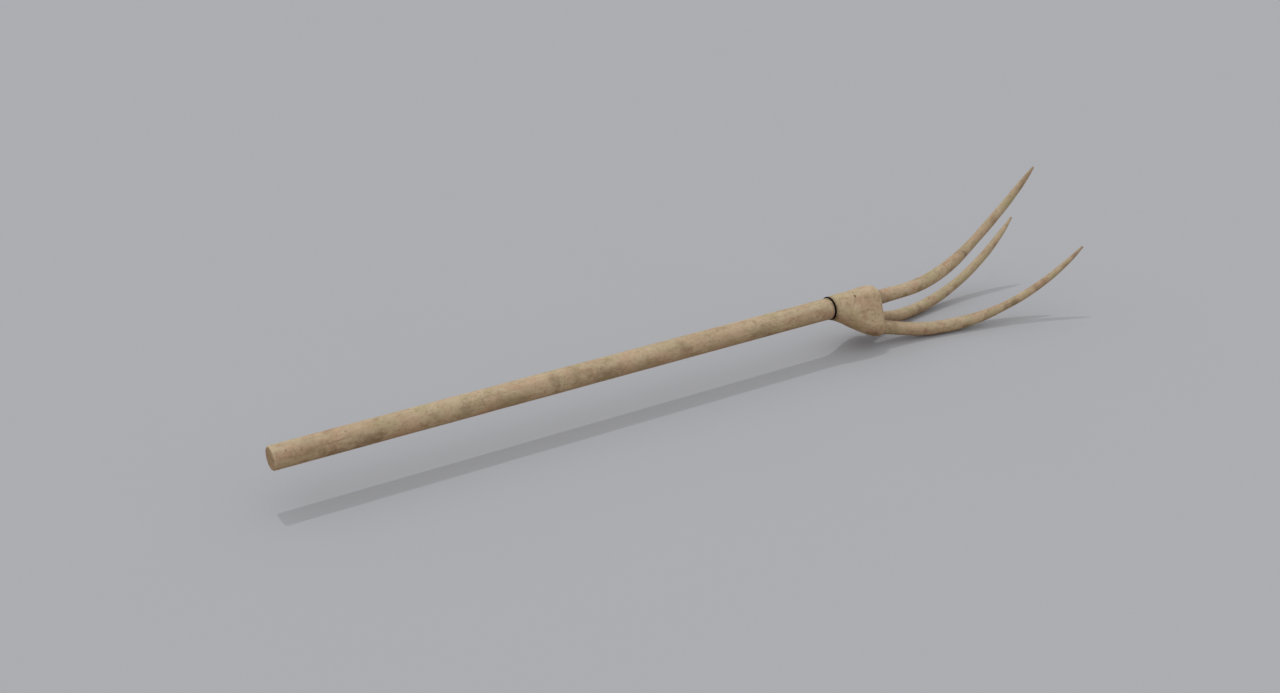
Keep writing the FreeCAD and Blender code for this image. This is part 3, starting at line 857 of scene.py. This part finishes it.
class Graph:
    """Short calls for building the node tree of a material, or of a world."""

    def __init__(self, name, library=bpy.data.materials, shader="Principled BSDF"):
        self.owner = library.new(name)
        self.owner.use_nodes = True
        self.nodes = self.owner.node_tree.nodes
        self.links = self.owner.node_tree.links
        self.shader = self.nodes[shader]

    def add(self, kind, inputs=(), **settings):
        """Node with its settings, and inputs given by name or number as a value or a socket."""
        node = self.nodes.new(kind)
        for key, value in settings.items():
            setattr(node, key, value)
        for key, value in dict(inputs).items():
            self.feed(node.inputs[key], value)
        return node

    def feed(self, socket, value):
        """Link a socket to another node's output, or set its value."""
        if isinstance(value, bpy.types.NodeSocket):
            self.links.new(value, socket)
        else:
            socket.default_value = value

    def layer(self, name):
        """One number per vertex, from the mesh."""
        return self.add("ShaderNodeAttribute", attribute_name=name).outputs["Fac"]

    def maths(self, operation, a, b):
        return self.add("ShaderNodeMath", {0: a, 1: b}, operation=operation).outputs[0]

    def stretch(self, vector, scale):
        """Coordinates scaled differently along and across the grain."""
        return self.add("ShaderNodeMapping", {"Vector": vector, "Scale": scale}).outputs[0]

    def noise(self, vector, scale, detail=2.0, roughness=0.5, distortion=0.0):
        inputs = {"Vector": vector, "Scale": scale, "Detail": detail, "Roughness": roughness,
                  "Distortion": distortion}
        return self.add("ShaderNodeTexNoise", inputs).outputs["Fac"]

    def cells(self, vector, scale=1.0):
        """Distance to the nearest of many scattered points."""
        inputs = {"Vector": vector, "Scale": scale, "Randomness": 1}
        return self.add("ShaderNodeTexVoronoi", inputs).outputs["Distance"]

    def bump(self, height, strength, distance):
        """Small relief from a height, with its depth in metres."""
        node = self.add("ShaderNodeBump", {"Height": height, "Strength": strength, "Distance": distance})
        self.feed(self.shader.inputs["Normal"], node.outputs["Normal"])

    def window(self, value, low, high, to_low=0.0, to_high=1.0):
        """Map a band of values to 0-1 or another range, clamped and eased."""
        inputs = {"Value": value, "From Min": low, "From Max": high, "To Min": to_low, "To Max": to_high}
        return self.add("ShaderNodeMapRange", inputs, interpolation_type="SMOOTHSTEP").outputs["Result"]

    def mix(self, share, first, second):
        """Colour that goes from the first to the second as share goes from 0 to 1."""
        node = self.add("ShaderNodeMix", data_type="RGBA")
        self.feed(node.inputs["Factor"], share)
        self.feed(node.inputs[6], first)
        self.feed(node.inputs[7], second)
        return node.outputs[2]


def wood_material(name, tones, fibre_depth=1.0, mottling=1.0):
    """Weathered pale wood: mottled tone and hue, fibres, pores, specks, stains, wear and end grain.

    The grain vector runs along X, in metres, so each scale is in features per metre.
    """
    g = Graph(name)
    grain = g.add("ShaderNodeAttribute", attribute_name="grain").outputs["Vector"]

    broad = g.noise(g.stretch(grain, (17, 30, 30)), 1, 2, 0.5)
    patches = g.noise(g.stretch(grain, (52, 78, 78)), 1, 4, 0.62, 0.6)
    mottle = g.noise(g.stretch(grain, (170, 230, 230)), 1, 3, 0.6, 0.4)
    fibres = g.noise(g.stretch(grain, (26, 900, 900)), 1, 4, 0.65)
    bands = g.noise(g.stretch(grain, (7, 190, 190)), 1, 3, 0.55)

    tone = g.maths("ADD", g.window(broad, 0.36, 0.66, 0, 0.42), g.window(patches, 0.36, 0.68, 0, 0.58))
    colour = g.mix(tone, tones["light"], tones["mid"])
    colour = g.mix(g.window(patches, 0.52, 0.74, 0, 0.75), colour, tones["brown"])
    hue = g.noise(g.stretch(grain, (31, 40, 40)), 1, 2, 0.5)
    colour = g.mix(g.window(hue, 0.50, 0.68, 0, 0.55), colour, tones["pink"])
    colour = g.mix(g.window(hue, 0.47, 0.33, 0, 0.55), colour, tones["olive"])
    colour = g.mix(g.window(mottle, 0.50, 0.72, 0, 0.42 * mottling), colour, tones["brown"])
    colour = g.mix(g.window(mottle, 0.46, 0.30, 0, 0.32 * mottling), colour, tones["light"])
    colour = g.mix(g.window(bands, 0.50, 0.66, 0, 0.20), colour, tones["brown"])
    colour = g.mix(g.window(fibres, 0.50, 0.75, 0, 0.30), colour, tones["brown"])
    colour = g.mix(g.window(fibres, 0.45, 0.28, 0, 0.22), colour, tones["light"])

    colour = g.mix(g.layer("pale"), colour, tones["light"])
    colour = g.mix(g.layer("pink"), colour, tones["pink"])
    colour = g.mix(g.layer("olive"), colour, tones["olive"])
    colour = g.mix(g.layer("stain"), colour, tones["dark"])

    pores = g.cells(g.stretch(grain, (150, 1300, 1300)))
    pore_zone = g.window(g.noise(g.stretch(grain, (40, 120, 120)), 1), 0.42, 0.60)
    pore = g.maths("MULTIPLY", g.window(pores, 0.26, 0.12), pore_zone)
    colour = g.mix(g.maths("MULTIPLY", pore, 0.55), colour, tones["dark"])
    specks = g.cells(grain, 150)
    speck_zone = g.window(g.noise(grain, 34, 2), 0.45, 0.57)
    speck = g.maths("MULTIPLY", g.window(specks, 0.20, 0.10), speck_zone)
    colour = g.mix(g.maths("MULTIPLY", speck, 0.70), colour, tones["dark"])
    flecks = g.cells(g.stretch(grain, (190, 260, 260)))
    fleck = g.maths("MULTIPLY", g.window(flecks, 0.24, 0.12), g.window(broad, 0.56, 0.44))
    colour = g.mix(g.maths("MULTIPLY", fleck, 0.70), colour, tones["fleck"])

    # Lighter where worn; on the butt's rim this is also a painted highlight.
    wear = g.maths("MULTIPLY", g.layer("wear"), g.window(mottle, 0.30, 0.60, 0.3, 1.0))
    colour = g.mix(g.maths("MULTIPLY", wear, 0.6), colour, tones["worn"])
    # This layer darkens the wood: dirt at the tines' points, a darker tone all over the pegs, painted
    # shade along the head's crease, and darker bands next to the joints.
    grime = g.maths("MULTIPLY", g.layer("grime"), g.window(patches, 0.30, 0.62, 0.35, 1.0))
    colour = g.mix(g.maths("MULTIPLY", grime, 0.6), colour, tones["dark"])

    end = g.layer("end")
    ring_inputs = {"Vector": g.stretch(grain, (0.4, 1, 1)), "Scale": 130, "Distortion": 2.2, "Detail": 2,
                   "Detail Scale": 1.2}
    rings = g.add("ShaderNodeTexWave", ring_inputs, wave_type="RINGS", rings_direction="X").outputs["Fac"]
    end_colour = g.mix(g.window(rings, 0.15, 0.95), tones["end_light"], tones["end_dark"])
    end_colour = g.mix(g.window(mottle, 0.45, 0.65, 0, 0.45), end_colour, tones["dark"])
    colour = g.mix(end, colour, end_colour)
    g.feed(g.shader.inputs["Base Color"], colour)

    rough = g.window(g.maths("ADD", g.maths("MULTIPLY", fibres, 0.5), g.maths("MULTIPLY", patches, 0.5)),
                     0.3, 0.7, 0.56, 0.80)
    rough = g.maths("ADD", rough, g.maths("MULTIPLY", grime, 0.10))
    g.feed(g.shader.inputs["Roughness"], g.maths("SUBTRACT", rough, g.maths("MULTIPLY", wear, 0.12)))
    g.shader.inputs["Specular IOR Level"].default_value = 0.18

    height = g.maths("MULTIPLY", fibres, 0.55 * fibre_depth)
    height = g.maths("ADD", height, g.maths("MULTIPLY", mottle, 0.45))
    height = g.maths("SUBTRACT", height, g.maths("MULTIPLY", pore, 0.5))
    height = g.maths("SUBTRACT", height, g.maths("MULTIPLY", speck, 0.5))
    height = g.maths("ADD", height, g.maths("MULTIPLY", g.maths("MULTIPLY", rings, end), 0.4))
    g.bump(height, 0.55, 0.0006)
    return g.owner


def ring_material():
    """Blackened iron: dark scale, faint bare-metal rubs and a little rust in the low spots."""
    g = Graph("blackened_iron")
    place = g.add("ShaderNodeTexCoord").outputs["Object"]
    scale = g.noise(place, 420, 4, 0.6)
    blooms = g.noise(place, 120, 3, 0.55)
    colour = g.mix(g.window(scale, 0.35, 0.7), srgb(2, 2, 2), srgb(6, 5, 4))
    colour = g.mix(g.window(blooms, 0.56, 0.72, 0, 0.5), colour, srgb(13, 9, 7))
    g.feed(g.shader.inputs["Base Color"], colour)
    g.feed(g.shader.inputs["Roughness"], g.window(scale, 0.3, 0.7, 0.42, 0.68))
    g.shader.inputs["Specular IOR Level"].default_value = 0.06
    g.bump(scale, 0.5, 0.0003)
    return g.owner


def wood_tones(shift=1.0):
    """The wood's colours, all darkened or lightened by one share."""
    tones = {
        "light": (192, 174, 145), "mid": (175, 153, 124), "brown": (146, 120, 93), "dark": (99, 77, 58),
        "pink": (186, 152, 126), "olive": (168, 157, 120), "fleck": (204, 190, 158),
        "worn": (200, 182, 153), "end_light": (188, 163, 130), "end_dark": (152, 126, 98),
    }
    return {key: srgb(*(min(255, c * shift) for c in rgb)) for key, rgb in tones.items()}


MATERIALS = {
    "handle_wood": wood_material("handle_wood_weathered", wood_tones(1.005), 1.0, 1.25),
    "head_wood": wood_material("head_wood_carved", wood_tones(1.02), 1.0, 1.15),
    "tine_wood": wood_material("tine_wood_shaved", wood_tones(0.985), 1.2, 1.35),
    "peg_wood": wood_material("peg_wood_oiled", wood_tones(0.84)),
}


def finish_wood(piece, grain, slot, end, wear, grime, marks, mark_points=None):
    """Give a wooden piece its layers, material, slot and body."""
    set_grain(piece, grain)
    layers = mark_depths(grain if mark_points is None else mark_points, marks)
    set_floats(piece, end=end, wear=wear, grime=grime, **layers)
    piece.data.materials.clear()
    piece.data.materials.append(MATERIALS[slot])
    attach(piece, "root")
    return piece


# ---------------------------------------- camera, light and floor
CAMERA_PLACE = (-0.5751, -1.9211, 1.0781)
CAMERA_TURN, CAMERA_PITCH = math.radians(31.99), math.radians(24.983)
CAMERA_LENS = 43.453

# The dome's grey at the horizon and straight up, and the warm part below it, from just under the horizon.
HORIZON, ZENITH = 0.643, 0.96
WARM_BROWN = (0.30, 0.24, 0.19, 1)
LOWER_DOME_TOP = -0.04
SUN_ENERGY = 0.54
SUN_WIDTH = math.radians(0.8)
SUN_DIRECTION = Vector((-0.03, -0.35, -1))

FLOOR_HALF = 60000
BOUNCE_DROP = 0.0005
SHOWN_TONES = ((0.404, 0.411, 0.433, 1), (0.410, 0.416, 0.438, 1))
BOUNCE_TONES = (WARM_BROWN, (0.31, 0.245, 0.195, 1))


def add_camera():
    """Viewpoint from the near side, turned 32 degrees from +Y towards +X and looking 25 degrees down."""
    data = bpy.data.cameras.new("photo_camera")
    data.sensor_width = 36
    data.lens = CAMERA_LENS
    data.clip_end = 200
    camera = bpy.data.objects.new("photo_camera", data)
    level = math.cos(CAMERA_PITCH)
    ahead = Vector((math.sin(CAMERA_TURN) * level, math.cos(CAMERA_TURN) * level, -math.sin(CAMERA_PITCH)))
    camera.location = CAMERA_PLACE
    camera.rotation_mode = "QUATERNION"
    camera.rotation_quaternion = ahead.to_track_quat("-Z", "Y")
    bpy.context.scene.collection.objects.link(camera)
    bpy.context.scene.camera = camera


def add_light():
    """Even studio dome, dim and warm from below, with a small share of direct light from above."""
    g = Graph("studio_dome", bpy.data.worlds, "Background")
    direction = g.add("ShaderNodeTexCoord").outputs["Generated"]
    height = g.add("ShaderNodeSeparateXYZ", {0: direction}).outputs["Z"]
    upper = g.mix(height, (HORIZON, HORIZON, HORIZON, 1), (ZENITH, ZENITH, ZENITH, 1))
    dome = g.mix(g.maths("GREATER_THAN", height, LOWER_DOME_TOP), WARM_BROWN, upper)
    g.feed(g.shader.inputs["Color"], dome)
    bpy.context.scene.world = g.owner
    data = bpy.data.lights.new("key", "SUN")
    data.energy = SUN_ENERGY
    data.angle = SUN_WIDTH
    key = bpy.data.objects.new("key", data)
    key.rotation_mode = "QUATERNION"
    key.rotation_quaternion = SUN_DIRECTION.to_track_quat("-Z", "Y")
    bpy.context.scene.collection.objects.link(key)
    bpy.context.scene.view_settings.view_transform = "Standard"


def add_floor(name, drop, tones):
    """Plain floor level with the lowest point of the bends, or a small drop below it."""
    corners = [(x * FLOOR_HALF, y * FLOOR_HALF, 0) for x, y in ((-1, -1), (1, -1), (1, 1), (-1, 1))]
    floor = mesh_object(name, corners, [(0, 1, 2, 3)])
    floor.location.z = FLOOR_HEIGHT - drop
    g = Graph(name)
    place = g.add("ShaderNodeTexCoord").outputs["Object"]
    g.feed(g.shader.inputs["Base Color"], g.mix(g.noise(place, 3, 2), *tones))
    g.shader.inputs["Roughness"].default_value = 0.95
    g.shader.inputs["Specular IOR Level"].default_value = 0.0
    floor.data.materials.append(g.owner)
    return floor


def add_floors():
    """Pale grey floor to look at, and a dimmer, warmer one just under it, whose light reaches the fork."""
    shown = add_floor("studio_floor", 0, SHOWN_TONES)
    shown.visible_diffuse = False
    shown.visible_shadow = False
    bounce = add_floor("studio_floor_bounce", BOUNCE_DROP, BOUNCE_TONES)
    bounce.visible_camera = False


# ---------------------------------------- the fork
TINES = {
    "top": Tine("top_tine", (97, 0, -4.4), 0.7, 0, 70.4, (248.5, 34.5), (1054, 11.25),
                (27, 24.8, 17.6, 14.6), "tine_top"),
    "left": Tine("left_tine", (94, 18.4, -50.5), -12.7, 9.9, 80, (160, 5.8), (417, 50.2),
                 (25, 22, 17.8, 14.6), "tine_left"),
    "right": Tine("right_tine", (94, -18.4, -50.5), -12.7, -9.9, 80, (160, 5.8), (417, 50.2),
                  (25, 24.4, 16, 12.6), "tine_right"),
}

add_camera()
add_light()
add_floors()
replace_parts(build_handle(), "handle")
build_ring()
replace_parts(build_head(), "head")
for seed, tine in enumerate(TINES.values(), start=1):
    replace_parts(tine.build(seed, TINE_MARKS[tine.name]), tine.node)
build_peg("neck_peg", "handle_peg", *handle_peg_axis(), PEG_OUTER_REACH["handle"], 1)
for seed, (key, tine) in enumerate(TINES.items(), start=2):
    build_peg(f"{key}_tenon_peg", f"{key}_tine_peg", *tine.peg_axis(), PEG_OUTER_REACH[key], seed)
build_wedge()
